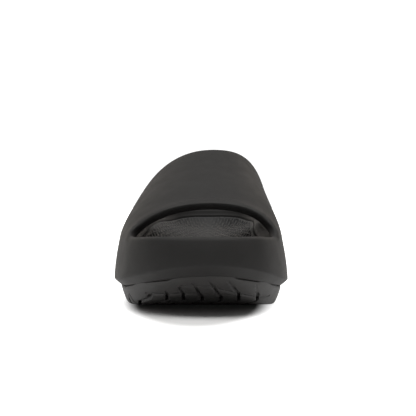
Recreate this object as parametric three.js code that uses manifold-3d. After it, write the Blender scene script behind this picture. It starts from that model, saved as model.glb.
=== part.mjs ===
// A sport slide sandal for the right foot, in three pieces:
//   upper_and_midsole  one foam moulding: the strap, the side wall and the midsole
//   outsole            the firmer unit under it, with the tread cut into it
//   insole             the footbed pad that lies in the moulding's recess
// Millimetres, +Z up. The toe points along -Y and the inner side of the foot is +X.
// The origin is on the floor, under the middle of the slide's outline.

import * as THREE from 'three';
import { mergeVertices } from 'three/addons/utils/BufferGeometryUtils.js';
import Module from 'manifold-3d';

const wasm = await Module();
wasm.setup();

// Overall sizes
const LENGTH = 288; // toe tip to heel end, over the side wall
const BALL_WIDTH = 112; // widest place, over the side wall
const STRAP_HEIGHT = 96.4; // top of the strap above the floor
const RIM_HEIGHT = 49; // toe rim above the floor
const FOOTBED_HEIGHT = 38; // heel seat above the floor

// Walls
const STRAP_WALL = 6; // strap at its crown
const RIM_WALL = 8.5; // rim round the footbed, at its thickest
const RIM_ROUND = 3.8; // height of the rounding on top of the rim
const LIP_HEIGHT = 0.8; // the strap's front edge stands out by this
const SIDE_LEAN = 3.4; // how far the side wall leans in, from its foot to its rim
const CLEARANCE = 0.3; // gap between pieces that meet

// Strap, measured from the toe tip to the flat of its edges
const FRONT_EDGE_AT_BASE = 52;
const FRONT_EDGE_AT_CROWN = 76;
const REAR_EDGE_AT_CROWN = 167;
const REAR_EDGE_AT_BASE = 192;
const EDGE_SWEEP = 3.2; // higher keeps the edges near the crown for longer
const REAR_EDGE_SOFTNESS = 0.6; // under 1 the rear edge leaves the rim in a hollow curve
const CROWN_ACROSS = 6; // the crown stands this far to the inner side

// Sole
const OUTSOLE_THICKNESS = 13; // under the ball and the heel
const TOE_SPRING = 17.5; // underside of the toe tip above the floor
const HEEL_SPRING = 6;
const ARCH_RELIEF = 2.2; // underside of the waist above the floor
const TOE_CONTACT = 99; // the toe spring starts this far from the toe tip
const HEEL_CONTACT = 48; // the heel spring starts this far from the heel end
const ARCH_FRONT = 152;
const ARCH_BACK = 202;
const BEVEL_HEIGHT = 3.4; // rounded lower edge of the side wall, at the ball
const OUTSOLE_INSET = 4.4; // from the side wall's widest line to the top of the outsole's side
const OUTSOLE_TAPER = 5.6; // the outsole's side goes in by this on its way down to the underside

// Footbed
const INSOLE_THICKNESS = 3;
const INSOLE_EDGE = 0.8; // rounding round the pad's top
const FOOTBED_MARGIN = 16; // from the outline to the insole, at the ball
const HEEL_CUP = 7.5; // how far the sides of the heel seat rise
const ARCH_SUPPORT = 4; // raised inner side of the waist

// Tread
const GROOVE_WIDTH = 1.7;
const GROOVE_DEPTH = 2.6;
const ZIGZAG_SWING = 3.4; // half of a zigzag's width
const ZIGZAG_LENGTH = 30; // along the sole, from one slanting stretch to the next
const ZIGZAG_START = 13; // from the toe tip to the middle of the first slanting stretch
const ZIGZAG_SLANT = 14; // length of a slanting stretch along the sole
const CROSS_GROOVE_WIDTH = 0.9;
const CROSS_GROOVE_DEPTH = 1.6;
const OUTSOLE_SKIN = 1.5; // what a groove leaves of the outsole over it, where it runs up the side
const SMALLEST_STEP = 0.03; // the outsole's faces are joined where they turn by less

// Seen from above, round the outside of the side wall: from the toe tip down the outer side
// to the heel end and back up the inner side. Shares of LENGTH and of half of BALL_WIDTH.
const OUTLINE = [
  { along: 0.0, across: 0.16 },
  { along: 0.017, across: -0.22 },
  { along: 0.075, across: -0.61 },
  { along: 0.18, across: -0.875 },
  { along: 0.29, across: -0.975 },
  { along: 0.385, across: -1.0 },
  { along: 0.52, across: -0.955 },
  { along: 0.68, across: -0.825 },
  { along: 0.83, across: -0.7 },
  { along: 0.935, across: -0.52 },
  { along: 0.988, across: -0.24 },
  { along: 1.0, across: 0.09 },
  { along: 0.988, across: 0.42 },
  { along: 0.935, across: 0.7 },
  { along: 0.83, across: 0.85 },
  { along: 0.7, across: 0.88 },
  { along: 0.565, across: 0.905 },
  { along: 0.43, across: 0.965 },
  { along: 0.315, across: 1.0 },
  { along: 0.19, across: 0.955 },
  { along: 0.083, across: 0.78 },
  { along: 0.02, across: 0.49 },
];
const HEEL_ROW = 11; // the row of OUTLINE at the heel end

// From the side. along is a share of LENGTH, and the other columns are shares of
//   rim      RIM_HEIGHT, the top of the side wall
//   crown    STRAP_HEIGHT, the strap's highest line
//   footbed  FOOTBED_HEIGHT, the insole's top along its middle
//   outsole  OUTSOLE_THICKNESS
//   bevel    BEVEL_HEIGHT
//   taper    OUTSOLE_TAPER
//   margin   FOOTBED_MARGIN
//   dish     HEEL_CUP, the rise of the footbed's sides
//   wall     RIM_WALL, the thickness of the rim and of the strap where it leaves the side wall
const PROFILE = [
  { along: 0.0, rim: 1.0, crown: 0.42, footbed: 1.13,
    outsole: 0.68, bevel: 1.65, taper: 2.9, margin: 0.93, dish: 0.1, wall: 1.0 },
  { along: 0.07, rim: 0.98, crown: 0.5, footbed: 1.03,
    outsole: 0.75, bevel: 1.45, taper: 2.2, margin: 0.93, dish: 0.15, wall: 0.95 },
  { along: 0.15, rim: 0.94, crown: 0.575, footbed: 0.93,
    outsole: 0.85, bevel: 1.2, taper: 1.35, margin: 0.95, dish: 0.3, wall: 0.8 },
  { along: 0.26, rim: 0.925, crown: 0.68, footbed: 0.875,
    outsole: 0.95, bevel: 1.05, taper: 1.0, margin: 0.98, dish: 0.5, wall: 0.72 },
  { along: 0.36, rim: 0.92, crown: 0.79, footbed: 0.865,
    outsole: 1.0, bevel: 1.0, taper: 1.0, margin: 1.0, dish: 0.6, wall: 0.72 },
  { along: 0.5, rim: 0.935, crown: 0.925, footbed: 0.9,
    outsole: 1.0, bevel: 1.0, taper: 1.0, margin: 1.0, dish: 0.72, wall: 0.75 },
  { along: 0.58, rim: 0.95, crown: 1.0, footbed: 0.94,
    outsole: 1.0, bevel: 1.0, taper: 1.0, margin: 0.96, dish: 0.85, wall: 0.78 },
  { along: 0.7, rim: 0.98, crown: 1.06, footbed: 0.98,
    outsole: 1.0, bevel: 1.0, taper: 1.0, margin: 0.86, dish: 0.98, wall: 0.8 },
  { along: 0.85, rim: 1.01, crown: 1.12, footbed: 1.0,
    outsole: 1.0, bevel: 1.0, taper: 1.05, margin: 0.78, dish: 1.0, wall: 0.8 },
  { along: 0.95, rim: 1.03, crown: 1.14, footbed: 1.17,
    outsole: 0.97, bevel: 1.0, taper: 1.4, margin: 0.78, dish: 0.6, wall: 0.82 },
  { along: 1.0, rim: 1.035, crown: 1.15, footbed: 1.3,
    outsole: 0.93, bevel: 1.0, taper: 1.7, margin: 0.78, dish: 0.45, wall: 0.82 },
];

// The strap's arch from side wall to crown, seen from the toe, at its front and at its rear edge.
// The rises and reaches are the lengths of the curve's two handles: a rise is a share of the
// crown's height over the rim, at the side wall, and a reach a share of the distance across, at
// the crown.
const ARCH = [
  { along: 0.2, outerRise: 0.4, outerReach: 0.56, innerRise: 0.6, innerReach: 0.62 },
  { along: 0.6, outerRise: 0.51, outerReach: 0.56, innerRise: 0.97, innerReach: 0.47 },
];

// The rounding on top of the rim, from its outer to its inner side. inward is a share of the
// rim's thickness and up of RIM_ROUND.
const RIM_SECTION = [
  { inward: 0.12, up: 0.64 },
  { inward: 0.4, up: 1.0 },
  { inward: 0.76, up: 0.93 },
  { inward: 1.0, up: 0.6 },
];

// The strap's edges, from the outer to the inner face. Both are shares of the wall there: inward
// through it, and out beyond the end of its faces.
const LIP_SECTION = [
  { inward: 0.1, out: 0.38 },
  { inward: 0.34, out: 0.44 },
  { inward: 0.78, out: 0.14 },
];

// The outsole's side, from its underside up. inward is a share of its taper and up of its
// thickness.
const OUTSOLE_SECTION = [
  { inward: 1.0, up: 0.0 },
  { inward: 0.74, up: 0.09 },
  { inward: 0.5, up: 0.3 },
  { inward: 0.14, up: 0.74 },
];

// Zigzag grooves along the sole, one to a row. across is a share of half of BALL_WIDTH, and from
// and to are shares of LENGTH.
const ZIGZAG_GROOVES = [
  { across: -0.75, from: 0.22, to: 0.46 },
  { across: -0.61, from: 0.112, to: 0.48 },
  { across: -0.42, from: 0.076, to: 0.5 },
  { across: -0.235, from: 0.052, to: 0.5 },
  { across: -0.03, from: 0.032, to: 0.5 },
  { across: 0.175, from: 0.024, to: 0.5 },
  { across: 0.37, from: 0.028, to: 0.5 },
  { across: 0.58, from: 0.07, to: 0.49 },
  { across: 0.74, from: 0.2, to: 0.44 },
  { across: -0.39, from: 0.73, to: 0.93 },
  { across: -0.15, from: 0.72, to: 0.965 },
  { across: 0.09, from: 0.72, to: 0.97 },
  { across: 0.33, from: 0.72, to: 0.965 },
  { across: 0.57, from: 0.73, to: 0.93 },
];

// Cross grooves, from one side to the other. across is a share of half of BALL_WIDTH, and along
// and bow, by which the middle lies nearer to the heel, are shares of LENGTH.
const CROSS_GROOVES = [
  { fromAcross: -0.2, fromAlong: 0.047, toAcross: 0.78, toAlong: 0.155, bow: -0.05 },
  { fromAcross: -0.6, fromAlong: 0.122, toAcross: -0.03, toAlong: 0.06, bow: -0.012 },
  { fromAcross: -0.8, fromAlong: 0.205, toAcross: 0.84, toAlong: 0.225, bow: -0.01 },
  { fromAcross: -0.86, fromAlong: 0.34, toAcross: 0.84, toAlong: 0.35, bow: -0.01 },
  { fromAcross: -0.78, fromAlong: 0.455, toAcross: 0.78, toAlong: 0.455, bow: 0.0 },
  { fromAcross: -0.58, fromAlong: 0.8, toAcross: 0.72, toAlong: 0.81, bow: 0.01 },
  { fromAcross: -0.45, fromAlong: 0.9, toAcross: 0.62, toAlong: 0.9, bow: 0.012 },
];

// Stations round the outline, counted from the toe tip to the heel end on each side.
const STATION_OF_STRAP = 8;
const STATION_AFTER_STRAP = 22;
const STATION_OF_HEEL = 36;
const STATION_OF_GRID = 6; // corners of the grids that fill the footbed and the underside
const STATION_AFTER_GRID = 30;
const LOOP = 2 * STATION_OF_HEEL;
const ARCH_STEPS = 28; // over the strap, from side to side
const LIP_BLEND_STEPS = 6; // of those steps, over which the rim's rounding becomes the lip's
const GROOVE_STEPS = 40; // along a groove as long as the sole
const CROSS_GROOVE_STEPS = 8; // and of a whole cross groove

const lerp = THREE.MathUtils.lerp;
const toeY = -LENGTH / 2;
const alongOf = (y) => (y - toeY) / LENGTH;

// One column of a table as a smooth curve through its rows that never overshoots them.
function curveOf(rows, column) {
  const x = rows.map((row) => row.along);
  const y = rows.map((row) => row[column]);
  const rise = x.slice(1).map((next, i) => (y[i + 1] - y[i]) / (next - x[i]));
  const slope = x.map((_, i) => {
    const before = rise[Math.max(0, i - 1)];
    const after = rise[Math.min(rise.length - 1, i)];
    return before * after <= 0 ? 0 : (2 * before * after) / (before + after);
  });
  return (at) => {
    const clamped = THREE.MathUtils.clamp(at, x[0], x[x.length - 1]);
    let i = 0;
    while (i < rise.length - 1 && clamped > x[i + 1]) i++;
    const span = x[i + 1] - x[i];
    const t = (clamped - x[i]) / span;
    const u = 1 - t;
    return (
      u * u * (1 + 2 * t) * y[i] +
      t * t * (3 - 2 * t) * y[i + 1] +
      t * u * span * (u * slope[i] - t * slope[i + 1])
    );
  };
}

const curvesOf = (rows) =>
  Object.fromEntries(Object.keys(rows[0]).map((column) => [column, curveOf(rows, column)]));
const share = curvesOf(PROFILE);
const arch = curvesOf(ARCH);
const rimTop = (along) => RIM_HEIGHT * share.rim(along);
const crownHeight = (y) => STRAP_HEIGHT * share.crown(alongOf(y));

// The underside: flat under the ball and the heel, raised at the toe, the heel end and the waist.
function underside(y) {
  const fromToe = y - toeY;
  const toe = Math.max(0, 1 - fromToe / TOE_CONTACT);
  const heel = Math.max(0, 1 - (LENGTH - fromToe) / HEEL_CONTACT);
  const waist = THREE.MathUtils.clamp((fromToe - ARCH_FRONT) / (ARCH_BACK - ARCH_FRONT), 0, 1);
  return TOE_SPRING * toe ** 2 + HEEL_SPRING * heel ** 2 + ARCH_RELIEF * Math.sin(Math.PI * waist) ** 2;
}

// Where the moulding and the outsole meet.
const thicknessAt = (along) => OUTSOLE_THICKNESS * share.outsole(along);
const seam = (y) => underside(y) + thicknessAt(alongOf(y));

// The outline as one smooth closed curve, stretched to its exact length and width.
function outlineSides() {
  const curve = new THREE.CatmullRomCurve3(
    OUTLINE.map((row) => new THREE.Vector3(row.across, row.along, 0)),
    true,
    'centripetal'
  );
  const samples = 400;
  const box = new THREE.Box3().setFromPoints(curve.getPoints(2 * samples));
  const heel = HEEL_ROW / OUTLINE.length;
  const sideBetween = (from, to, turn) => {
    const points = [];
    for (let i = 0; i <= samples; i++) {
      const p = curve.getPoint(lerp(from, to, i / samples));
      points.push({
        x: (p.x - (box.min.x + box.max.x) / 2) * (BALL_WIDTH / (box.max.x - box.min.x)),
        y: (p.y - (box.min.y + box.max.y) / 2) * (LENGTH / (box.max.y - box.min.y)),
      });
    }
    let travelled = 0;
    points.forEach((p, i) => {
      const before = points[Math.max(0, i - 1)];
      travelled += Math.hypot(p.x - before.x, p.y - before.y);
      p.travelled = travelled;
    });
    const at = (fraction) => {
      const target = fraction * travelled;
      let i = 1;
      while (i < samples && points[i].travelled < target) i++;
      const [a, b] = [points[i - 1], points[i]];
      const t = (target - a.travelled) / (b.travelled - a.travelled);
      const before = points[Math.max(0, i - 3)];
      const after = points[Math.min(samples, i + 2)];
      const size = Math.hypot(after.x - before.x, after.y - before.y);
      return {
        x: lerp(a.x, b.x, t),
        y: lerp(a.y, b.y, t),
        outX: (-turn * (after.y - before.y)) / size,
        outY: (turn * (after.x - before.x)) / size,
      };
    };
    const fractionAt = (y) => points.find((p) => p.y >= y).travelled / travelled;
    return { at, fractionAt };
  };
  return { outer: sideBetween(0, heel, 1), inner: sideBetween(1, heel, -1) };
}

// Stations round the slide, so that the strap's edges start on a station on either side.
function stationsOf(side) {
  const front = side.fractionAt(toeY + FRONT_EDGE_AT_BASE);
  const rear = side.fractionAt(toeY + REAR_EDGE_AT_BASE);
  const stations = [];
  for (let i = 0; i <= STATION_OF_HEEL; i++) {
    let fraction;
    if (i <= STATION_OF_STRAP) fraction = (front * i) / STATION_OF_STRAP;
    else if (i <= STATION_AFTER_STRAP)
      fraction = lerp(front, rear, (i - STATION_OF_STRAP) / (STATION_AFTER_STRAP - STATION_OF_STRAP));
    else fraction = lerp(rear, 1, (i - STATION_AFTER_STRAP) / (STATION_OF_HEEL - STATION_AFTER_STRAP));
    stations.push(side.at(fraction));
  }
  return stations;
}

const sides = outlineSides();
const outerStations = stationsOf(sides.outer);
const innerStations = stationsOf(sides.inner);
const stations = [...outerStations, ...innerStations.slice(1, -1).reverse()];

// A loop of points round the slide, each moved in from the outline by inward and set at height.
// Both are numbers or functions: inward of the station's share of the length, and height of that
// share and of the point itself.
function ring(inward, height) {
  return stations.map((station) => {
    const along = alongOf(station.y);
    const depth = typeof inward === 'function' ? inward(along) : inward;
    const point = new THREE.Vector3(station.x - station.outX * depth, station.y - station.outY * depth, 0);
    point.z = height(along, point);
    return point;
  });
}

// Collects the faces of one closed surface.
class Skin {
  positions = [];

  quad(a, b, c, d) {
    for (const p of [a, b, c, a, c, d]) this.positions.push(p.x, p.y, p.z);
  }

  // Faces between two rings, at the places round the slide that keep says.
  band(from, to, keep = () => true) {
    for (let k = 0; k < LOOP; k++) {
      const next = (k + 1) % LOOP;
      if (keep(k)) this.quad(from[k], to[k], to[next], from[next]);
    }
  }

  // A grid across a ring, with its inner points at the height that height(x, y) says.
  fill(edge, height, facesUp) {
    const rows = STATION_AFTER_GRID - STATION_OF_GRID;
    const columns = 2 * STATION_OF_GRID;
    const outerSide = (r) => edge[STATION_OF_GRID + r];
    const innerSide = (r) => edge[LOOP - STATION_OF_GRID - r];
    const toeEnd = (c) => edge[(STATION_OF_GRID - c + LOOP) % LOOP];
    const heelEnd = (c) => edge[STATION_AFTER_GRID + c];
    const pointAt = (r, c) => {
      if (c === 0) return outerSide(r);
      if (c === columns) return innerSide(r);
      if (r === 0) return toeEnd(c);
      if (r === rows) return heelEnd(c);
      const [v, u] = [r / rows, c / columns];
      const blended = (axis) =>
        lerp(outerSide(r)[axis], innerSide(r)[axis], u) +
        lerp(toeEnd(c)[axis], heelEnd(c)[axis], v) -
        lerp(
          lerp(toeEnd(0)[axis], toeEnd(columns)[axis], u),
          lerp(heelEnd(0)[axis], heelEnd(columns)[axis], u),
          v
        );
      const [x, y] = [blended('x'), blended('y')];
      return new THREE.Vector3(x, y, height(x, y));
    };
    const grid = [];
    for (let r = 0; r <= rows; r++) {
      grid.push([]);
      for (let c = 0; c <= columns; c++) grid[r].push(pointAt(r, c));
    }
    this.patch(grid, !facesUp);
  }

  // Faces over a grid of points, rows by columns.
  patch(grid, turned = false) {
    for (let r = 0; r + 1 < grid.length; r++) {
      for (let c = 0; c + 1 < grid[r].length; c++) {
        const corners = [grid[r][c], grid[r][c + 1], grid[r + 1][c + 1], grid[r + 1][c]];
        this.quad(...(turned ? corners.reverse() : corners));
      }
    }
  }

  geometry() {
    const open = new THREE.BufferGeometry();
    open.setAttribute('position', new THREE.Float32BufferAttribute(this.positions, 3));
    return mergeVertices(open, 1e-3);
  }
}

// The insole's top: raised at the toe, dished across, with a raised inner side at the waist.
function footbed(x, y) {
  const along = alongOf(y);
  const middle = (CROWN_ACROSS * THREE.MathUtils.clamp((along - 0.3) / 0.4, 0, 1)) / 1.4;
  const across = (x - middle) / (BALL_WIDTH / 2);
  const dish = HEEL_CUP * share.dish(along) * (across / 0.6) ** 2;
  const support = ARCH_SUPPORT * Math.exp(-(((along - 0.57) / 0.11) ** 2)) * Math.max(0, across) ** 2 * 2;
  return FOOTBED_HEIGHT * share.footbed(along) + dish + support;
}

// Side wall, from the seam up to the rim
const footOfWall = (along) => seam(toeY + along * LENGTH) + BEVEL_HEIGHT * share.bevel(along);
const topOfWall = (along) => rimTop(along) - RIM_ROUND;
const leanAt = (share) => SIDE_LEAN * share ** 1.6;
const WALL_LEVELS = [0, 0.12, 0.36, 0.6, 0.82, 1];
const BEVEL_LEVELS = [
  { inward: 0.64, up: 0.28 },
  { inward: 0.26, up: 0.66 },
];

function wallRings() {
  const seamRing = ring(OUTSOLE_INSET - CLEARANCE, (_, point) => seam(point.y));
  const bevelRings = BEVEL_LEVELS.map(({ inward, up }) =>
    ring(OUTSOLE_INSET * inward, (along, point) => lerp(seam(point.y), footOfWall(along), up))
  );
  const upright = WALL_LEVELS.map((level) =>
    ring(leanAt(level), (along) => lerp(footOfWall(along), topOfWall(along), level))
  );
  return [seamRing, ...bevelRings, ...upright];
}

// The side of the footbed, from the top of the wall's inner face down to the insole's recess
const marginAt = (along) => FOOTBED_MARGIN * share.margin(along);
const wallAt = (along) => RIM_WALL * share.wall(along);
const innerFace = (along) => SIDE_LEAN + wallAt(along);
const innerTop = (along) => topOfWall(along) + RIM_ROUND * RIM_SECTION[RIM_SECTION.length - 1].up;
const shelf = (point) => footbed(point.x, point.y) + INSOLE_EDGE / 2;

function footbedRings() {
  const slope = [0, 0.35, 0.7].map((step) =>
    ring(
      (along) => lerp(innerFace(along), marginAt(along), step),
      (along, point) => lerp(shelf(point), innerTop(along), (1 - step) ** 2)
    )
  );
  const shelfRing = ring(marginAt, (_, point) => shelf(point));
  const recessRing = ring(marginAt, (_, point) => footbed(point.x, point.y) - INSOLE_THICKNESS - CLEARANCE);
  return [...slope, shelfRing, recessRing];
}

// The strap's outside at a place y along the slide, and u over the arch from 0 to 1. It grows out
// of the top ring of the side wall without a step.
function strapSurface(topRing) {
  const baseCurve = (indices) => new THREE.CatmullRomCurve3(indices.map((k) => topRing[k]));
  const indices = [];
  for (let i = STATION_OF_STRAP - 3; i <= STATION_AFTER_STRAP + 3; i++) indices.push(i);
  const bases = {
    outer: baseCurve(indices),
    inner: baseCurve(indices.map((i) => LOOP - i)),
  };
  const baseAt = (side, y) => {
    let [low, high] = [0, 1];
    for (let i = 0; i < 40; i++) {
      const middle = (low + high) / 2;
      if (bases[side].getPoint(middle).y < y) low = middle;
      else high = middle;
    }
    return bases[side].getPoint(low);
  };
  return (y, u) => {
    const side = u <= 0.5 ? 'outer' : 'inner';
    const t = u <= 0.5 ? 2 * u : 2 - 2 * u;
    const base = baseAt(side, y);
    const crown = new THREE.Vector3(CROWN_ACROSS, y, crownHeight(y));
    const height = crown.z - base.z;
    const lean = ((0.8 * SIDE_LEAN) / (RIM_HEIGHT / 2)) * Math.sign(crown.x - base.x);
    const rise = height * arch[side + 'Rise'](alongOf(y));
    const reach = (crown.x - base.x) * arch[side + 'Reach'](alongOf(y));
    const section = new THREE.CubicBezierCurve3(
      base,
      new THREE.Vector3(base.x + lean * rise, y, base.z + rise),
      new THREE.Vector3(crown.x - reach, y, crown.z),
      crown
    );
    const point = section.getPoint(t);
    point.y = y;
    return point;
  };
}

// Where a step over the strap lies, from 0 to 1: the steps are closer near the side walls.
const archShare = (j) => lerp(j / ARCH_STEPS, (1 - Math.cos((Math.PI * j) / ARCH_STEPS)) / 2, 0.5);

// Grids of the strap's outer and inner face.
function strapGrids(topRing, innerRing) {
  const surface = strapSurface(topRing);
  const columns = STATION_AFTER_STRAP - STATION_OF_STRAP;
  const frontShift = FRONT_EDGE_AT_CROWN - FRONT_EDGE_AT_BASE;
  const rearShift = REAR_EDGE_AT_CROWN - REAR_EDGE_AT_BASE;
  const placeAt = (j, i) => {
    const u = archShare(j);
    const outerBase = topRing[STATION_OF_STRAP + i].y;
    const innerBase = topRing[LOOP - STATION_OF_STRAP - i].y;
    const towardsCrown = 1 - Math.abs(2 * u - 1) ** EDGE_SWEEP;
    const front = frontShift * towardsCrown;
    const rear = rearShift * towardsCrown ** REAR_EDGE_SOFTNESS;
    return lerp(outerBase, innerBase, u) + lerp(front, rear, i / columns);
  };
  const normalAt = (y, u) => {
    const step = 0.01;
    const [low, high] = [Math.max(0, u - step), Math.min(1, u + step)];
    const over = surface(y, high).sub(surface(y, low));
    const back = surface(y + 1, u).sub(surface(y - 1, u));
    return over.cross(back).normalize();
  };
  const outside = [];
  const inside = [];
  const normals = [];
  for (let j = 0; j <= ARCH_STEPS; j++) {
    const u = archShare(j);
    outside.push([]);
    inside.push([]);
    normals.push([]);
    for (let i = 0; i <= columns; i++) {
      const y = placeAt(j, i);
      const normal = normalAt(y, u);
      const wall = lerp(wallAt(alongOf(y)), STRAP_WALL, Math.sin(Math.PI * u) ** 0.8);
      normals[j].push(normal);
      if (j === 0 || j === ARCH_STEPS) {
        const k = j === 0 ? STATION_OF_STRAP + i : LOOP - STATION_OF_STRAP - i;
        outside[j].push(topRing[k]);
        inside[j].push(innerRing[k]);
      } else {
        const point = surface(y, u);
        const flare = i === 0 ? LIP_HEIGHT * Math.sin(Math.PI * u) ** 0.5 : 0;
        outside[j].push(point.clone().addScaledVector(normal, flare));
        inside[j].push(point.clone().addScaledVector(normal, -wall));
      }
    }
  }
  return { outside, inside, normals, columns };
}

function upperAndMidsole() {
  const skin = new Skin();
  const outerRings = wallRings();
  const innerRings = footbedRings();
  const topRing = outerRings[outerRings.length - 1];
  const innerRing = innerRings[0];
  const rimRings = RIM_SECTION.slice(0, -1).map(({ inward, up }) =>
    ring(
      (along) => SIDE_LEAN + wallAt(along) * inward,
      (along) => topOfWall(along) + RIM_ROUND * up
    )
  );
  const isUnderStrap = (k) => {
    const station = k < STATION_OF_HEEL ? k : LOOP - 1 - k;
    return station >= STATION_OF_STRAP && station < STATION_AFTER_STRAP;
  };

  for (let i = 0; i + 1 < outerRings.length; i++) skin.band(outerRings[i], outerRings[i + 1]);
  for (let i = 0; i + 1 < innerRings.length; i++) skin.band(innerRings[i], innerRings[i + 1]);
  const overRim = [topRing, ...rimRings, innerRing];
  for (let i = 0; i + 1 < overRim.length; i++)
    skin.band(overRim[i], overRim[i + 1], (k) => !isUnderStrap(k));

  const { outside, inside, normals, columns } = strapGrids(topRing, innerRing);
  skin.patch(outside, true);
  skin.patch(inside);
  const edgeStrip = (i, facing) =>
    outside.map((row, j) => {
      const k = i === 0 ? STATION_OF_STRAP : STATION_AFTER_STRAP;
      let points;
      if (j === 0) points = rimRings.map((points) => points[k]);
      else if (j === ARCH_STEPS) points = rimRings.map((points) => points[LOOP - k]);
      else {
        const edge = outside[j + 1][i].clone().sub(outside[j - 1][i]);
        const out = edge.cross(normals[j][i]).normalize().multiplyScalar(facing);
        const wall = row[i].distanceTo(inside[j][i]);
        const base = j < ARCH_STEPS / 2 ? 0 : ARCH_STEPS;
        const risen = row[i].clone().sub(outside[base][i]);
        const likeRim = Math.max(0, 1 - Math.abs(j - base) / LIP_BLEND_STEPS);
        points = LIP_SECTION.map((place, step) => {
          const onLip = row[i].clone().lerp(inside[j][i], place.inward);
          const onRim = rimRings[step][base === 0 ? k : LOOP - k].clone().add(risen);
          return onLip.addScaledVector(out, wall * place.out).lerp(onRim, likeRim);
        });
      }
      return [row[i], ...points, inside[j][i]];
    });
  skin.patch(edgeStrip(0, 1));
  skin.patch(edgeStrip(columns, -1), true);

  skin.fill(outerRings[0], (_, y) => seam(y), false);
  skin.fill(
    innerRings[innerRings.length - 1],
    (x, y) => footbed(x, y) - INSOLE_THICKNESS - CLEARANCE,
    true
  );
  return skin.geometry();
}

function insole() {
  const skin = new Skin();
  const margin = (along) => marginAt(along) + CLEARANCE;
  const under = (x, y) => footbed(x, y) - INSOLE_THICKNESS;
  const bottom = ring(margin, (_, point) => under(point.x, point.y));
  const side = ring(margin, (_, point) => footbed(point.x, point.y) - INSOLE_EDGE);
  const top = ring(
    (along) => margin(along) + INSOLE_EDGE,
    (_, point) => footbed(point.x, point.y)
  );
  skin.band(bottom, side);
  skin.band(side, top);
  skin.fill(top, footbed, true);
  skin.fill(bottom, under, false);
  return skin.geometry();
}

// A closed solid from a geometry, and a geometry from a solid
function solidFrom(geometry) {
  const merged = mergeVertices(geometry, 1e-3);
  return new wasm.Manifold(
    new wasm.Mesh({
      numProp: 3,
      vertProperties: merged.attributes.position.array,
      triVerts: new Uint32Array(merged.index.array),
    })
  );
}

function geometryFrom(solid) {
  const mesh = solid.getMesh();
  const geometry = new THREE.BufferGeometry();
  geometry.setAttribute('position', new THREE.Float32BufferAttribute(mesh.vertProperties, 3));
  geometry.setIndex(new THREE.BufferAttribute(mesh.triVerts, 1));
  return geometry;
}

const taperAt = (along) => OUTSOLE_TAPER * share.taper(along);
const undersideEdge = ring((along) => OUTSOLE_INSET + taperAt(along), () => 0);

// Where a point lies on the outsole's side: 0 on the underside, 1 at the top of the side.
function upTheSide({ x, y }) {
  const distances = undersideEdge.map((point) => Math.hypot(point.x - x, point.y - y));
  const nearest = distances.indexOf(Math.min(...distances));
  const { outX, outY } = stations[nearest];
  const past = (x - undersideEdge[nearest].x) * outX + (y - undersideEdge[nearest].y) * outY;
  return Math.max(0, past) / taperAt(alongOf(stations[nearest].y));
}

// A groove's volume along a path of {x, y}: it reaches from below the floor to depth over the
// underside and over the outsole's rounded front and back.
function grooveSolid(path, width, depth) {
  const below = -5;
  const sections = path.map((point, i) => {
    const before = path[Math.max(0, i - 1)];
    const after = path[Math.min(path.length - 1, i + 1)];
    const size = Math.hypot(after.x - before.x, after.y - before.y);
    const sideX = ((after.y - before.y) / size) * (width / 2);
    const sideY = ((before.x - after.x) / size) * (width / 2);
    const climb = thicknessAt(alongOf(point.y)) - OUTSOLE_SKIN - depth;
    const top = underside(point.y) + depth + climb * upTheSide(point) ** 2;
    return [
      new THREE.Vector3(point.x - sideX, point.y - sideY, below),
      new THREE.Vector3(point.x + sideX, point.y + sideY, below),
      new THREE.Vector3(point.x + sideX, point.y + sideY, top),
      new THREE.Vector3(point.x - sideX, point.y - sideY, top),
    ];
  });
  const skin = new Skin();
  for (let i = 0; i + 1 < sections.length; i++) {
    const [a, b] = [sections[i], sections[i + 1]];
    for (let k = 0; k < 4; k++) skin.quad(a[k], b[k], b[(k + 1) % 4], a[(k + 1) % 4]);
  }
  const [first, last] = [sections[0], sections[sections.length - 1]];
  skin.quad(first[0], first[1], first[2], first[3]);
  skin.quad(last[3], last[2], last[1], last[0]);
  return solidFrom(skin.geometry());
}

function treadGrooves() {
  const halfWidth = BALL_WIDTH / 2;
  const grooves = [];
  for (const { across, from, to } of ZIGZAG_GROOVES) {
    const steps = Math.round((to - from) * GROOVE_STEPS);
    const path = [];
    for (let i = 0; i <= steps; i++) {
      const y = toeY + lerp(from, to, i / steps) * LENGTH;
      const turns = (y - toeY - ZIGZAG_START) / ZIGZAG_LENGTH;
      const wave = 1 - 2 * Math.abs(((turns + 0.5) % 2) - 1);
      const sway = THREE.MathUtils.clamp((wave * ZIGZAG_LENGTH) / ZIGZAG_SLANT, -1, 1);
      path.push({ x: across * halfWidth + sway * ZIGZAG_SWING, y });
    }
    grooves.push(grooveSolid(path, GROOVE_WIDTH, GROOVE_DEPTH));
  }
  for (const { fromAcross, fromAlong, toAcross, toAlong, bow } of CROSS_GROOVES) {
    const path = [];
    for (let i = 0; i <= CROSS_GROOVE_STEPS; i++) {
      const t = i / CROSS_GROOVE_STEPS;
      const along = lerp(fromAlong, toAlong, t) + bow * 4 * t * (1 - t);
      path.push({ x: lerp(fromAcross, toAcross, t) * halfWidth, y: toeY + along * LENGTH });
    }
    grooves.push(grooveSolid(path, CROSS_GROOVE_WIDTH, CROSS_GROOVE_DEPTH));
  }
  return grooves;
}

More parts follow.
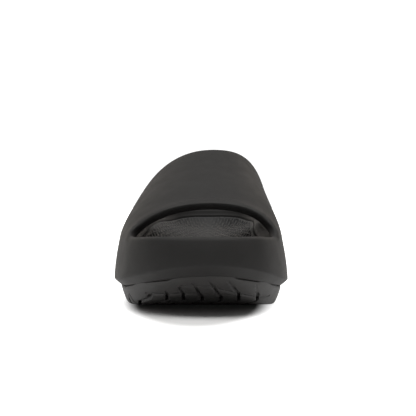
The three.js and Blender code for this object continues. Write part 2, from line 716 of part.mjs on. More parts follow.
function outsole() {
  const skin = new Skin();
  const rings = OUTSOLE_SECTION.map(({ inward, up }) =>
    ring(
      (along) => OUTSOLE_INSET + taperAt(along) * inward,
      (_, point) => lerp(underside(point.y), seam(point.y) - CLEARANCE, up)
    )
  );
  const top = ring(OUTSOLE_INSET, (_, point) => seam(point.y) - CLEARANCE);
  rings.push(top);
  for (let i = 0; i + 1 < rings.length; i++) skin.band(rings[i], rings[i + 1]);
  skin.fill(top, (_, y) => seam(y) - CLEARANCE, true);
  skin.fill(rings[0], (_, y) => underside(y), false);
  let solid = solidFrom(skin.geometry());
  for (const groove of treadGrooves()) solid = solid.subtract(groove);
  const bodies = solid.decompose().sort((a, b) => b.volume() - a.volume());
  return geometryFrom(bodies[0].simplify(SMALLEST_STEP)); // without the chips that a groove cuts loose
}

// Colours as the pieces look in even light
const FOAM_BLACK = { color: 0x2f2f2f, roughness: 0.62, metalness: 0 };
const OUTSOLE_BLACK = { color: 0x2b2a2a, roughness: 0.55, metalness: 0 };
const INSOLE_BLACK = { color: 0x313131, roughness: 0.75, metalness: 0 };

function piece(name, geometry, finish) {
  geometry.computeVertexNormals();
  const mesh = new THREE.Mesh(geometry, new THREE.MeshStandardMaterial(finish));
  mesh.name = name;
  return mesh;
}

const slide = new THREE.Group();
slide.name = 'sport_slide';
slide.add(piece('upper_and_midsole', upperAndMidsole(), FOAM_BLACK));
slide.add(piece('outsole', outsole(), OUTSOLE_BLACK));
slide.add(piece('insole', insole(), INSOLE_BLACK));

export default slide;
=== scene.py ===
import math

import bpy
import bmesh
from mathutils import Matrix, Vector
from mathutils.kdtree import KDTree


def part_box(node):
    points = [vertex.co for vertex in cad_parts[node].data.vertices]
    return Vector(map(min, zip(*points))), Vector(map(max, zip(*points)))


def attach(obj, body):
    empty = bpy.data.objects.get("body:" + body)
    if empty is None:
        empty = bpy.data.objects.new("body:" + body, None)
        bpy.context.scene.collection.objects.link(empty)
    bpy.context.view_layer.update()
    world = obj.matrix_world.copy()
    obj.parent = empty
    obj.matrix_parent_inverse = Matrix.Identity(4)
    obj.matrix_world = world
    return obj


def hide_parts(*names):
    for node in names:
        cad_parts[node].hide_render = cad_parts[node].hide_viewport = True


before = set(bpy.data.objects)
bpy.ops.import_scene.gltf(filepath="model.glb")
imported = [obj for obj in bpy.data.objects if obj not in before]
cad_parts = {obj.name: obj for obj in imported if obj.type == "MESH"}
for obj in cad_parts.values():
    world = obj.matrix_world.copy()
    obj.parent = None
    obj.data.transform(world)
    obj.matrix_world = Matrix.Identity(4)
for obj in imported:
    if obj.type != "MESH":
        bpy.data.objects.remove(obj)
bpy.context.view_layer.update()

scene = bpy.context.scene
mm = 0.001

# the slide's overall sizes, from the frame
lowCorner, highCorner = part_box("upper_and_midsole")
toeY = lowCorner[1]
length = highCorner[1] - lowCorner[1]
halfWidth = (highCorner[0] - lowCorner[0]) / 2


# what every piece uses

def deselectAll():
    if bpy.context.object and bpy.context.object.mode != "OBJECT":
        bpy.ops.object.mode_set(mode="OBJECT")
    bpy.ops.object.select_all(action="DESELECT")


def makeActive(piece):
    deselectAll()
    piece.select_set(True)
    bpy.context.view_layer.objects.active = piece


def copyOfNode(nodeName, pieceName):
    # the node's own form, merged and made of four-sided faces again
    piece = bpy.data.objects.new(pieceName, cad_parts[nodeName].data.copy())
    piece.data.materials.clear()
    scene.collection.objects.link(piece)
    makeActive(piece)
    bpy.ops.object.mode_set(mode="EDIT")
    bpy.ops.mesh.select_all(action="SELECT")
    mergeWithin = 0.005 * mm
    bend, skew = math.radians(50), math.radians(60)  # how far a pair of triangles may be from a flat square
    bpy.ops.mesh.remove_doubles(threshold=mergeWithin)
    bpy.ops.mesh.tris_convert_to_quads(face_threshold=bend, shape_threshold=skew)
    bpy.ops.object.mode_set(mode="OBJECT")
    return piece


def subdivideSmoothly(piece, steps):
    makeActive(piece)
    smooth = piece.modifiers.new("smooth", "SUBSURF")
    smooth.levels = steps
    smooth.render_levels = steps
    bpy.ops.object.modifier_apply(modifier=smooth.name)
    bpy.ops.object.shade_smooth()


def finishPiece(piece, material, nodeName):
    piece.data.materials.clear()
    piece.data.materials.append(material)
    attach(piece, "root")
    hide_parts(nodeName)
    print("made", piece.name, "with", len(piece.data.polygons), "faces")


def foamMaterial(name, settings):
    # black moulded foam: slight mottling, a fine grain and a soft gloss that varies a little
    mottleDetail, grainDetail = 5, 3
    noiseLow, noiseHigh = 0.3, 0.7  # the part of the noise between the two colours
    sheenRoughness = 0.5
    sheenTint = (1.0, 0.9, 0.82, 1)
    material = bpy.data.materials.new(name)
    material.use_nodes = True
    nodes = material.node_tree.nodes
    links = material.node_tree.links
    shader = nodes["Principled BSDF"]
    place = nodes.new("ShaderNodeTexCoord")

    mottle = nodes.new("ShaderNodeTexNoise")
    mottle.inputs["Scale"].default_value = 1 / settings["mottleSize"]
    mottle.inputs["Detail"].default_value = mottleDetail
    links.new(place.outputs["Object"], mottle.inputs["Vector"])

    colors = nodes.new("ShaderNodeValToRGB")
    colors.color_ramp.elements[0].position = noiseLow
    colors.color_ramp.elements[0].color = settings["colorDark"]
    colors.color_ramp.elements[1].position = noiseHigh
    colors.color_ramp.elements[1].color = settings["colorLight"]
    links.new(mottle.outputs["Fac"], colors.inputs["Fac"])
    links.new(colors.outputs["Color"], shader.inputs["Base Color"])

    gloss = nodes.new("ShaderNodeMapRange")
    gloss.inputs["From Min"].default_value = noiseLow
    gloss.inputs["From Max"].default_value = noiseHigh
    gloss.inputs["To Min"].default_value = settings["roughness"][0]
    gloss.inputs["To Max"].default_value = settings["roughness"][1]
    links.new(mottle.outputs["Fac"], gloss.inputs["Value"])
    links.new(gloss.outputs["Result"], shader.inputs["Roughness"])

    grain = nodes.new("ShaderNodeTexNoise")
    grain.inputs["Scale"].default_value = 1 / settings["grainSize"]
    grain.inputs["Detail"].default_value = grainDetail
    links.new(place.outputs["Object"], grain.inputs["Vector"])
    bump = nodes.new("ShaderNodeBump")
    bump.inputs["Strength"].default_value = 1
    bump.inputs["Distance"].default_value = settings["grainDepth"]
    links.new(grain.outputs["Fac"], bump.inputs["Height"])
    links.new(bump.outputs["Normal"], shader.inputs["Normal"])

    shader.inputs["Specular IOR Level"].default_value = settings["gloss"]
    shader.inputs["Sheen Weight"].default_value = settings["sheen"]
    shader.inputs["Sheen Roughness"].default_value = sheenRoughness
    shader.inputs["Sheen Tint"].default_value = sheenTint
    return material


# the photographer's view

viewSettings = {
    "lens": 212.0,
    "sensor": 36,  # both in millimetres
    "distance": 1.6,  # from the ball of the slide
    "elevation": 5.5,  # degrees above the floor, seen from the ball
    "azimuth": 0.4,
    "pitch": 3.35,  # degrees that the camera looks down
    "ball": (0.0046, -0.029, 0.0),
    "clip": (0.05, 50),  # the nearest and the furthest that is seen, in metres
}


def makeCamera():
    azimuth = math.radians(viewSettings["azimuth"])
    elevation = math.radians(viewSettings["elevation"])
    back = Vector((
        math.sin(azimuth) * math.cos(elevation),
        -math.cos(azimuth) * math.cos(elevation),
        math.sin(elevation),
    ))
    place = Vector(viewSettings["ball"]) + back * viewSettings["distance"]
    tilt = math.radians(90 - viewSettings["pitch"])
    bpy.ops.object.camera_add(location=place, rotation=(tilt, 0, azimuth))
    camera = bpy.context.object
    camera.name = "camera"
    camera.data.lens = viewSettings["lens"]
    camera.data.sensor_width = viewSettings["sensor"]
    camera.data.clip_start, camera.data.clip_end = viewSettings["clip"]
    scene.camera = camera
    scene.view_settings.view_transform = "Standard"
    scene.view_settings.look = "None"
    print("camera set")


# light and room

lightSettings = {
    # place, what it looks at, width and height in metres, watts, colour
    "overhead": {
        "at": (0.0, 0.1, 2.2), "to": (0, 0, 0),
        "size": (2.6, 2.0), "power": 50, "color": (1.0, 0.995, 0.985),
    },
    "frontPanel": {
        "at": (0.0, -1.6, 0.12), "to": (0, 0, 0.03),
        "size": (1.2, 0.2), "power": 1.0, "color": (1.0, 0.97, 0.95),
    },
    # these two shine over the heel onto the inner walls under the strap
    "fromInner": {
        "at": (0.3, 0.95, 0.5), "to": (-0.04, 0.03, 0.045),
        "size": (0.25, 0.25), "power": 0.5, "color": (1.0, 0.9, 0.8),
    },
    "fromOuter": {
        "at": (-0.3, 0.95, 0.5), "to": (0.04, 0.03, 0.045),
        "size": (0.25, 0.25), "power": 0.35, "color": (1.0, 0.93, 0.86),
    },
    "leftPanel": {
        "at": (-0.8, 1.3, 0.35), "to": (0, 0, 0.06),
        "size": (0.6, 0.5), "power": 1.5, "color": (1.0, 0.93, 0.86),
    },
    "rightPanel": {
        "at": (0.8, 1.3, 0.35), "to": (0, 0, 0.06),
        "size": (0.6, 0.5), "power": 1.0, "color": (1.0, 0.94, 0.88),
    },
}

roomSettings = {
    "floorSize": (7.0, 3.2),  # wide and deep; the white room shows past its far edge
    "floorMiddle": (0.0, -0.6),
    "floorColor": (0.8, 0.8, 0.8, 1),
    "floorRoughness": 0.9,
    "litColor": (1, 0.98, 0.96, 1),  # of the room's light on the slide
    "seen": 1.15,  # the room's brightness for the camera
    "lit": 0.12,  # and for the slide
    "glow": 1.0,  # painted light: the floor's glow as the camera sees it, outside the painted shadow under the toe
    "glowOnSlide": 0.6,  # share of that light that falls on the slide
    "paintedShadowMiddle": (-0.002, -0.03),
    "paintedShadowRadii": (0.038, 0.144),
    "paintedShadowSoftness": 0.35,  # share of the radii
}


def makeLights():
    for name, light in lightSettings.items():
        aim = Vector(light["to"]) - Vector(light["at"])
        turn = aim.to_track_quat("-Z", "Y").to_euler()
        bpy.ops.object.light_add(type="AREA", location=light["at"], rotation=turn)
        panel = bpy.context.object
        panel.name = name
        panel.data.shape = "RECTANGLE"
        panel.data.size, panel.data.size_y = light["size"]
        panel.data.energy = light["power"]
        panel.data.color = light["color"]
    print("lights set")


def makeRoom():
    # a white floor in a white room, as on a product photographer's table; the floor glows with painted
    # light outside an oval under the toe, which stays dark as a painted shadow
    r = roomSettings
    deselectAll()
    bpy.ops.mesh.primitive_plane_add(size=1, location=(r["floorMiddle"][0], r["floorMiddle"][1], 0))
    floor = bpy.context.object
    floor.name = "floor"
    floor.scale = (r["floorSize"][0], r["floorSize"][1], 1)
    bpy.ops.object.transform_apply(location=True, rotation=True, scale=True)
    white = bpy.data.materials.new("white_floor")
    white.use_nodes = True
    nodes = white.node_tree.nodes
    links = white.node_tree.links
    shader = nodes["Principled BSDF"]
    shader.inputs["Base Color"].default_value = r["floorColor"]
    shader.inputs["Roughness"].default_value = r["floorRoughness"]
    shader.inputs["Specular IOR Level"].default_value = 0.0
    shader.inputs["Emission Color"].default_value = (1, 1, 1, 1)

    place = nodes.new("ShaderNodeTexCoord")
    toOval = nodes.new("ShaderNodeMapping")  # the painted shadow's oval becomes a circle of radius 1
    toOval.vector_type = "TEXTURE"
    toOval.inputs["Location"].default_value = (r["paintedShadowMiddle"][0], r["paintedShadowMiddle"][1], 0)
    toOval.inputs["Scale"].default_value = (r["paintedShadowRadii"][0], r["paintedShadowRadii"][1], 1)
    links.new(place.outputs["Object"], toOval.inputs["Vector"])
    far = nodes.new("ShaderNodeVectorMath")
    far.operation = "LENGTH"
    links.new(toOval.outputs["Vector"], far.inputs[0])
    # painted light: the floor glows outside the oval, and a share of that glow lights the slide; inside the
    # oval is painted shadow
    glow = nodes.new("ShaderNodeMapRange")
    glow.interpolation_type = "SMOOTHSTEP"
    glow.inputs["From Min"].default_value = 1.0
    glow.inputs["From Max"].default_value = 1.0 + r["paintedShadowSoftness"]
    glow.inputs["To Max"].default_value = r["glow"]
    links.new(far.outputs["Value"], glow.inputs["Value"])
    path = nodes.new("ShaderNodeLightPath")
    share = nodes.new("ShaderNodeMapRange")
    share.inputs["To Min"].default_value = r["glowOnSlide"]
    share.inputs["To Max"].default_value = 1.0
    links.new(path.outputs["Is Camera Ray"], share.inputs["Value"])
    strength = nodes.new("ShaderNodeMath")
    strength.operation = "MULTIPLY"
    links.new(glow.outputs["Result"], strength.inputs[0])
    links.new(share.outputs["Result"], strength.inputs[1])
    links.new(strength.outputs["Value"], shader.inputs["Emission Strength"])
    floor.data.materials.append(white)

    world = bpy.data.worlds.new("room")
    scene.world = world
    world.use_nodes = True
    nodes = world.node_tree.nodes
    links = world.node_tree.links
    nodes.clear()
    seen = nodes.new("ShaderNodeBackground")
    seen.inputs["Color"].default_value = (1, 1, 1, 1)
    seen.inputs["Strength"].default_value = r["seen"]
    lit = nodes.new("ShaderNodeBackground")
    lit.inputs["Color"].default_value = r["litColor"]
    lit.inputs["Strength"].default_value = r["lit"]
    path = nodes.new("ShaderNodeLightPath")
    mix = nodes.new("ShaderNodeMixShader")
    out = nodes.new("ShaderNodeOutputWorld")
    links.new(path.outputs["Is Camera Ray"], mix.inputs["Fac"])
    links.new(lit.outputs["Background"], mix.inputs[1])
    links.new(seen.outputs["Background"], mix.inputs[2])
    links.new(mix.outputs["Shader"], out.inputs["Surface"])
    print("room set")


# the moulded strap, side wall and midsole

foamSettings = {
    "smoothing": 2,  # subdivision steps over the moulded form
    "crease": 0.85,  # how crisp the creased edges stay
    "stepTop": 35 * mm,  # the step and the bevel lie below this
    "lipBottom": 50 * mm,  # and the strap's front edge above this
    # slopes: -1 is a face that looks down, 0 one that looks to the side, 1 one that looks up
    "stepSlopes": (-0.9, -0.25),
    "wallSlopes": (-0.25, 0.3),
    "undersideSlope": -0.92,
    "bevelSlope": -0.9,
    "lipSlopes": (0.0, 0.15),
    "lipLean": -0.15,  # how far both faces at the strap's front edge look to the toe
    "colorDark": (0.019, 0.0185, 0.018, 1),
    "colorLight": (0.023, 0.022, 0.0215, 1),
    "mottleSize": 14 * mm,
    "roughness": (0.58, 0.7),
    "gloss": 0.25,
    "sheen": 0.02,
    "grainSize": 0.9 * mm,
    "grainDepth": 0.03 * mm,
}


def makeFoamBody():
    body = copyOfNode("upper_and_midsole", "foam_body")
    bpy.ops.object.mode_set(mode="EDIT")
    bpy.ops.mesh.select_mode(type="EDGE")
    bpy.ops.mesh.select_all(action="DESELECT")
    form = bmesh.from_edit_mesh(body.data)
    # the foot of the side wall, the bevel's lower edge and part of the strap's front edge, found by
    # how far the faces beside them look down or up
    s = foamSettings
    for edge in form.edges:
        slopes = sorted(face.normal.z for face in edge.link_faces)
        if len(slopes) < 2:
            continue
        height = edge.verts[0].co.z
        low = height < s["stepTop"]
        step = s["stepSlopes"][0] < slopes[0] < s["stepSlopes"][1]
        foot = low and step and s["wallSlopes"][0] < slopes[1] < s["wallSlopes"][1]
        seam = low and slopes[0] < s["undersideSlope"] and slopes[1] > s["bevelSlope"]
        front = all(face.normal.y < s["lipLean"] for face in edge.link_faces)
        high = height > s["lipBottom"]
        lip = front and high and slopes[0] < s["lipSlopes"][0] and slopes[1] > s["lipSlopes"][1]
        edge.select = foot or seam or lip
    print("creased", sum(edge.select for edge in form.edges), "edges")
    bmesh.update_edit_mesh(body.data)
    bpy.ops.transform.edge_crease(value=foamSettings["crease"])
    bpy.ops.object.mode_set(mode="OBJECT")
    subdivideSmoothly(body, foamSettings["smoothing"])
    finishPiece(body, foamMaterial("foam_black", foamSettings), "upper_and_midsole")


# the insole with its dashes, which stand between sunken valleys

insoleSettings = {
    "smoothing": 2,
    "topSlope": 0.75,  # faces that look up more than this are the top
    "cuts": 3,  # further cuts across each face of the top
    "fill": 0.22 * mm,  # the pad's sides go this far into the clearance round it
    "rowPitch": 2.3 * mm,  # from one row of dashes to the next
    "dashPitch": 14 * mm,  # along a row
    "dashHeight": 1.1 * mm,
    "acrossEdge": (1.5, 0.25),  # how steep a dash's sides are, and how far its foot is cut off
    "alongEdge": (2.6, 0.2),  # the same for its ends
    "padLevel": 0.85,  # the height in the relief that is the pad's own surface
    "spread": 0.13,  # how fast the rows open towards the heel
    "middle": 4 * mm,  # the rows meet here, this far to the inner side
    "middleWidth": 16 * mm,
    "middleStrength": 0.25,  # share of the relief there
    "outerStrength": 0.7,  # and on the outer side
    "edgeWidth": 2.0 * mm,  # bare strip round the pad
    "paintedValleyShade": 0.1,  # painted shade: how dark the colour is between the dashes
    "colorDark": (0.032, 0.032, 0.032, 1),
    "colorLight": (0.041, 0.041, 0.041, 1),
    "mottleSize": 9 * mm,
    "roughness": (0.55, 0.7),
    "gloss": 0.3,
    "sheen": 0.0,
    "grainSize": 0.7 * mm,
    "grainDepth": 0.015 * mm,
}


def dashRelief(x, y):
    # 0 to 1: short raised dashes in rows that run along the foot and open towards the heel
    s = insoleSettings
    side = x - s["middle"]
    rowAt = (abs(side) - s["spread"] * y) / s["rowPitch"]
    shift = 0.5 * (round(rowAt) % 2)
    across = 0.5 + 0.5 * math.cos(2 * math.pi * rowAt)
    along = 0.5 + 0.5 * math.cos(2 * math.pi * (y / s["dashPitch"] + shift))
    sides = min(1.0, max(0.0, across * s["acrossEdge"][0] - s["acrossEdge"][1]))
    ends = min(1.0, max(0.0, along * s["alongEdge"][0] - s["alongEdge"][1]))
    return sides * ends


def reliefStrength(x):
    # the dashes are lower along the middle and on the outer side of the footbed
    s = insoleSettings
    full = 1.0 if x > s["middle"] else s["outerStrength"]
    aside = min(1.0, abs(x - s["middle"]) / s["middleWidth"])
    return s["middleStrength"] + (full - s["middleStrength"]) * aside


def paintShadeByRelief(material):
    # painted shade: the colour is darker in the valleys that the stored relief names, as if shade fell
    # between the dashes
    nodes = material.node_tree.nodes
    links = material.node_tree.links
    shader = nodes["Principled BSDF"]
    plain = shader.inputs["Base Color"].links[0].from_socket
    relief = nodes.new("ShaderNodeAttribute")
    relief.attribute_name = "relief"
    shade = nodes.new("ShaderNodeMapRange")
    shade.inputs["To Min"].default_value = insoleSettings["paintedValleyShade"]
    shade.inputs["To Max"].default_value = 1.0
    links.new(relief.outputs["Fac"], shade.inputs["Value"])
    darker = nodes.new("ShaderNodeVectorMath")
    darker.operation = "SCALE"
    links.new(plain, darker.inputs[0])
    links.new(shade.outputs["Result"], darker.inputs["Scale"])
    links.new(darker.outputs["Vector"], shader.inputs["Base Color"])
    return material


def makeInsole():
    s = insoleSettings
    pad = copyOfNode("insole", "insole_pad")
    subdivideSmoothly(pad, s["smoothing"])
    bpy.ops.object.mode_set(mode="EDIT")
    bpy.ops.mesh.select_mode(type="FACE")
    bpy.ops.mesh.select_all(action="DESELECT")
    form = bmesh.from_edit_mesh(pad.data)
    for face in form.faces:
        face.select = face.normal.z > s["topSlope"]
    bmesh.update_edit_mesh(pad.data)
    bpy.ops.mesh.subdivide(number_cuts=s["cuts"])
    form = bmesh.from_edit_mesh(pad.data)
    stored = form.verts.layers.float.new("relief")
    top = [vert for vert in form.verts if vert.select]
    edge = [vert.co.copy() for vert in top if any(not face.select for face in vert.link_faces)]
    tree = KDTree(len(edge))
    for index, point in enumerate(edge):
        tree.insert(point, index)
    tree.balance()
    for vert in form.verts:
        vert[stored] = 1.0
        vert.co += Vector((vert.normal.x, vert.normal.y, 0)) * s["fill"]
    for vert in top:
        fromEdge = tree.find(vert.co)[2]
        bare = fromEdge < s["edgeWidth"]
        height = s["padLevel"] if bare else dashRelief(vert.co.x, vert.co.y)
        strength = reliefStrength(vert.co.x)
        # this stored relief is what the painted shade in the valleys reads
        vert[stored] = 1.0 - (1.0 - height) * strength
        vert.co.z += s["dashHeight"] * (height - s["padLevel"]) * strength
    bmesh.update_edit_mesh(pad.data)
    bpy.ops.object.mode_set(mode="OBJECT")
    bpy.ops.object.shade_smooth()
    print("insole top has", len(top), "points")
    finishPiece(pad, paintShadeByRelief(foamMaterial("insole_black", s)), "insole")


# the outsole with its grooves

outsoleSettings = {
    "gap": 0.03 * mm,  # under the moulding
    "inset": 0.05 * mm,  # its top edge lies this far inside the moulding's lower edge
    "toeSpring": 17.5 * mm,
    "toeContact": 99 * mm,
    "heelSpring": 6 * mm,
    "heelContact": 48 * mm,
    "archRelief": 2.2 * mm,
    "archFrom": 152 * mm,
    "archTo": 202 * mm,
    "taper": 5.6 * mm,
    # the taper at shares of the length, as a share of itself
    "taperShares": {0.0: 2.9, 0.07: 2.2, 0.15: 1.35, 0.26: 1.0, 0.7: 1.0, 0.85: 1.05, 0.95: 1.4, 1.0: 1.7},
    # the side's curve from the underside up: shares of the taper inward and of the thickness up
    "section": [(1.0, 0.0), (0.74, 0.09), (0.5, 0.3), (0.14, 0.74), (0.0, 1.0)],
    "relaxing": 80,  # rounds of smoothing over the underside's points
    "undersideSlope": -0.92,  # the moulding's faces that look down more than this
    "undersideBelow": 0.03,  # and lie lower than this give the outline
    "mergeWithin": 0.01 * mm,
    "smoothing": 2,
    "sharpFrom": 35,  # degrees between faces
    "colorDark": (0.036, 0.035, 0.034, 1),
    "colorLight": (0.043, 0.041, 0.040, 1),
    "mottleSize": 10 * mm,
    "roughness": (0.55, 0.66),
    "gloss": 0.3,
    "sheen": 0.0,
    "grainSize": 0.6 * mm,
    "grainDepth": 0.02 * mm,
}

grooveSettings = {
    "width": 2.0 * mm,
    "depth": 2.8 * mm,
    "crossWidth": 1.3 * mm,
    "crossDepth": 2.6 * mm,
    "skin": 0.8 * mm,  # what a groove leaves over it at the top of the side
    "swing": 3.4 * mm,  # half of a zigzag's width
    "pitch": 30 * mm,  # from one slanting stretch to the next
    "start": 13 * mm,  # from the toe tip to the middle of the first one
    "slant": 14 * mm,  # length of a slanting stretch
    "step": 2.2 * mm,  # between points along a zigzag
    "crossSteps": 24,  # along a cross groove
    "cutterFoot": -5 * mm,  # how low the cutting forms reach
    # place across as a share of half the width, and the ends as shares of the length
    "zigzags": [
        (-0.75, 0.22, 0.46), (-0.61, 0.112, 0.48), (-0.42, 0.076, 0.5),
        (-0.235, 0.052, 0.5), (-0.03, 0.032, 0.5), (0.175, 0.024, 0.5),
        (0.37, 0.028, 0.5), (0.58, 0.07, 0.49), (0.74, 0.2, 0.44),
        (-0.39, 0.73, 0.93), (-0.15, 0.72, 0.965), (0.09, 0.72, 0.97),
        (0.33, 0.72, 0.965), (0.57, 0.73, 0.93),
    ],
    # both ends as shares of half the width and of the length, and how far the middle bows to the heel
    "crosses": [
        (-0.2, 0.047, 0.78, 0.155, -0.05), (-0.6, 0.122, -0.03, 0.06, -0.012),
        (-0.8, 0.205, 0.84, 0.225, -0.01), (-0.86, 0.34, 0.84, 0.35, -0.01),
        (-0.78, 0.455, 0.78, 0.455, 0.0), (-0.58, 0.8, 0.72, 0.81, 0.01),
        (-0.45, 0.9, 0.62, 0.9, 0.012),
    ],
}


def underside(y):
    # flat under the ball and the heel, raised at the toe, the waist and the heel end
    s = outsoleSettings
    fromToe = y - toeY
    toe = max(0.0, 1 - fromToe / s["toeContact"])
    heel = max(0.0, 1 - (length - fromToe) / s["heelContact"])
    waist = min(1.0, max(0.0, (fromToe - s["archFrom"]) / (s["archTo"] - s["archFrom"])))
    ends = s["toeSpring"] * toe ** 2 + s["heelSpring"] * heel ** 2
    return ends + s["archRelief"] * math.sin(math.pi * waist) ** 2


def taperAt(y):
    along = (y - toeY) / length
    shares = sorted(outsoleSettings["taperShares"].items())
    for (low, lowShare), (high, highShare) in zip(shares, shares[1:]):
        if along <= high:
            t = max(0.0, (along - low) / (high - low))
            return outsoleSettings["taper"] * (lowShare + (highShare - lowShare) * t)
    return outsoleSettings["taper"] * shares[-1][1]


class SeamRing:
    # the moulding's lower edge, in order round the slide, with the way out at each point
    def __init__(self, loop):
        self.points = [vert.co.copy() for vert in loop]
        count = len(self.points)
        middle = sum(self.points, Vector()) / count
        self.outward = []
        for k in range(count):
            run = self.points[(k + 1) % count] - self.points[k - 1]
            out = Vector((run.y, -run.x, 0)).normalized()
            if out.dot(self.points[k] - middle) < 0:
                out = -out
            self.outward.append(out)
        self.heights = sorted((point.y, point.z) for point in self.points)

    def heightAt(self, y):
        for (lowY, lowZ), (highY, highZ) in zip(self.heights, self.heights[1:]):
            if y <= highY and highY > lowY:
                return lowZ + (highZ - lowZ) * min(1.0, max(0.0, (y - lowY) / (highY - lowY)))
        return self.heights[-1][1]

    def place(self, k, inward, up):
        s = outsoleSettings
        base = self.points[k]
        point = base - self.outward[k] * (s["inset"] + taperAt(base.y) * inward)
        low = underside(point.y)
        high = self.heightAt(point.y) - s["gap"]
        point.z = low + (high - low) * up
        return point

    def upTheSide(self, x, y):
        # 0 on the underside, 1 at the top of the outsole's side
        nearest, share = 1e9, 0.0
        for k in range(len(self.points)):
            edge = self.place(k, 1.0, 0.0)
            distance = math.hypot(edge.x - x, edge.y - y)
            if distance < nearest:
                nearest = distance
                past = (x - edge.x) * self.outward[k].x + (y - edge.y) * self.outward[k].y
                share = max(0.0, past) / taperAt(self.points[k].y)
        return share


def orderedLoop(form):
    # the open edge's points, in order
    borders = [edge for edge in form.edges if len(edge.link_faces) == 1]
    loop = [borders[0].verts[0], borders[0].verts[1]]
    while True:
        last, before = loop[-1], loop[-2]
        ahead = [edge.other_vert(last) for edge in last.link_edges if len(edge.link_faces) == 1]
        following = [vert for vert in ahead if vert != before]
        if not following or following[0] == loop[0]:
            return loop
        loop.append(following[0])


def makeOutsoleForm():
    # the moulding's underside gives the outline; a copy of it, drawn in, is the outsole's underside
    s = outsoleSettings
    sole = copyOfNode("upper_and_midsole", "grooved_outsole")
    bpy.ops.object.mode_set(mode="EDIT")
    bpy.ops.mesh.select_mode(type="FACE")
    form = bmesh.from_edit_mesh(sole.data)
    for face in form.faces:
        down = face.normal.z < s["undersideSlope"]
        face.select = not (down and face.calc_center_median().z < s["undersideBelow"])
    bmesh.update_edit_mesh(sole.data)
    bpy.ops.mesh.delete(type="FACE")
    form = bmesh.from_edit_mesh(sole.data)
    station = form.verts.layers.int.new("station")
    loop = orderedLoop(form)
    seam = SeamRing(loop)
    for k, vert in enumerate(loop):
        vert[station] = k + 1
    bmesh.update_edit_mesh(sole.data)

    bpy.ops.mesh.select_all(action="SELECT")
    bpy.ops.mesh.duplicate()
    form = bmesh.from_edit_mesh(sole.data)
    station = form.verts.layers.int["station"]
    for vert in form.verts:
        atTop = not vert.select  # just under the moulding
        if vert[station]:
            inward, up = (0.0, 1.0) if atTop else (1.0, 0.0)
            vert.co = seam.place(vert[station] - 1, inward, up)
        elif atTop:
            vert.co = vert.co - Vector((0, 0, s["gap"]))
    bmesh.update_edit_mesh(sole.data)
    bpy.ops.mesh.select_mode(type="VERT")
    form = bmesh.from_edit_mesh(sole.data)
    for vert in form.verts:
        if vert.select:
            vert.select = not vert[station]
    form.select_flush_mode()
    bmesh.update_edit_mesh(sole.data)
    bpy.ops.mesh.vertices_smooth(factor=0.5, repeat=s["relaxing"])
    form = bmesh.from_edit_mesh(sole.data)
    station = form.verts.layers.int["station"]
    for vert in form.verts:
        if vert.select:
            vert.co.z = underside(vert.co.y)
    bpy.ops.mesh.select_mode(type="EDGE")
    bpy.ops.mesh.select_all(action="DESELECT")
    form = bmesh.from_edit_mesh(sole.data)
    station = form.verts.layers.int["station"]
    for edge in form.edges:  # the underside's own border
        vert = edge.verts[0]
        low = False
        if vert[station]:
            low = (vert.co - seam.place(vert[station] - 1, 1.0, 0.0)).length < s["mergeWithin"]
        edge.select = low and len(edge.link_faces) == 1
    bmesh.update_edit_mesh(sole.data)
    for inward, up in s["section"][1:]:
        bpy.ops.mesh.extrude_edges_move()
        form = bmesh.from_edit_mesh(sole.data)
        station = form.verts.layers.int["station"]
        for vert in form.verts:
            if vert.select:
                vert.co = seam.place(vert[station] - 1, inward, up)
        bmesh.update_edit_mesh(sole.data)
    bpy.ops.transform.edge_crease(value=1)  # the top edge stays sharp under the moulding
    bpy.ops.mesh.select_all(action="SELECT")
    bpy.ops.mesh.remove_doubles(threshold=s["mergeWithin"])
    bpy.ops.mesh.normals_make_consistent(inside=False)
    bpy.ops.object.mode_set(mode="OBJECT")
    print("outsole form has", len(sole.data.polygons), "faces")
    subdivideSmoothly(sole, s["smoothing"])
    return sole, seam


def zigzagPath(across, start, end):
    g = grooveSettings
    steps = max(2, round((end - start) * length / g["step"]))
    path = []
    for i in range(steps + 1):
        y = toeY + (start + (end - start) * i / steps) * length
        turns = (y - toeY - g["start"]) / g["pitch"]
        wave = 1 - 2 * abs((turns + 0.5) % 2 - 1)
        sway = min(1.0, max(-1.0, wave * g["pitch"] / g["slant"]))
        path.append((across * halfWidth + sway * g["swing"], y))
    return path


def crossPath(fromAcross, fromAlong, toAcross, toAlong, bow):
    steps = grooveSettings["crossSteps"]
    path = []
    for i in range(steps + 1):
        t = i / steps
        along = fromAlong + (toAlong - fromAlong) * t + bow * 4 * t * (1 - t)
        across = fromAcross + (toAcross - fromAcross) * t
        path.append((across * halfWidth, toeY + along * length))
    return path


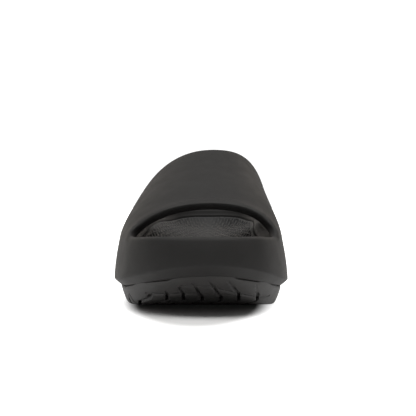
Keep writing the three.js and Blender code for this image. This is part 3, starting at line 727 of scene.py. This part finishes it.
def makeCutter(path, width, depth, seam):
    # a strip along the path at the groove's depth, drawn down to below the floor
    count = len(path)
    deselectAll()
    bpy.ops.mesh.primitive_grid_add(x_subdivisions=count - 1, y_subdivisions=1, size=1)
    cutter = bpy.context.object
    bpy.ops.object.mode_set(mode="EDIT")
    form = bmesh.from_edit_mesh(cutter.data)
    for vert in form.verts:
        i = round((vert.co.x + 0.5) * (count - 1))
        side = 1 if vert.co.y > 0 else -1
        x, y = path[i]
        run = Vector(path[min(count - 1, i + 1)]) - Vector(path[max(0, i - 1)])
        run.normalize()
        climb = seam.heightAt(y) - underside(y) - grooveSettings["skin"] - depth
        top = underside(y) + depth + climb * seam.upTheSide(x, y) ** 2
        vert.co = (x - run.y * side * width / 2, y + run.x * side * width / 2, top)
    bmesh.update_edit_mesh(cutter.data)
    bpy.ops.mesh.select_all(action="SELECT")
    bpy.ops.mesh.extrude_region_move()
    form = bmesh.from_edit_mesh(cutter.data)
    for vert in form.verts:
        if vert.select:
            vert.co.z = grooveSettings["cutterFoot"]
    bmesh.update_edit_mesh(cutter.data)
    bpy.ops.mesh.select_all(action="SELECT")
    bpy.ops.mesh.normals_make_consistent(inside=False)
    bpy.ops.object.mode_set(mode="OBJECT")
    return cutter


def cutGrooves(sole, cutters):
    deselectAll()
    for cutter in cutters:
        cutter.select_set(True)
    bpy.context.view_layer.objects.active = cutters[0]
    bpy.ops.object.join()
    joined = bpy.context.object
    makeActive(sole)
    cut = sole.modifiers.new("grooves", "BOOLEAN")
    cut.operation = "DIFFERENCE"
    cut.solver = "EXACT"
    cut.object = joined
    bpy.ops.object.modifier_apply(modifier=cut.name)
    makeActive(joined)
    bpy.ops.object.delete()


def keepLargestPart(piece):
    # drops the chips that a groove cuts loose
    makeActive(piece)
    bpy.ops.object.mode_set(mode="EDIT")
    bpy.ops.mesh.select_mode(type="VERT")
    form = bmesh.from_edit_mesh(piece.data)
    seen, largest = set(), []
    for start in form.verts:
        if start in seen:
            continue
        part, ahead = [], [start]
        seen.add(start)
        while ahead:
            vert = ahead.pop()
            part.append(vert)
            for edge in vert.link_edges:
                other = edge.other_vert(vert)
                if other not in seen:
                    seen.add(other)
                    ahead.append(other)
        if len(part) > len(largest):
            largest = part
    kept = set(largest)
    for vert in form.verts:
        vert.select = vert not in kept
    form.select_flush_mode()
    bmesh.update_edit_mesh(piece.data)
    bpy.ops.mesh.delete(type="VERT")
    bpy.ops.object.mode_set(mode="OBJECT")


def makeOutsole():
    g = grooveSettings
    sole, seam = makeOutsoleForm()
    zigzags = [makeCutter(zigzagPath(*row), g["width"], g["depth"], seam) for row in g["zigzags"]]
    cutGrooves(sole, zigzags)
    crosses = [makeCutter(crossPath(*row), g["crossWidth"], g["crossDepth"], seam) for row in g["crosses"]]
    cutGrooves(sole, crosses)
    keepLargestPart(sole)
    makeActive(sole)
    bpy.ops.object.shade_smooth_by_angle(angle=math.radians(outsoleSettings["sharpFrom"]))
    finishPiece(sole, foamMaterial("outsole_black", outsoleSettings), "outsole")


makeCamera()
makeLights()
makeRoom()
makeFoamBody()
makeInsole()
makeOutsole()
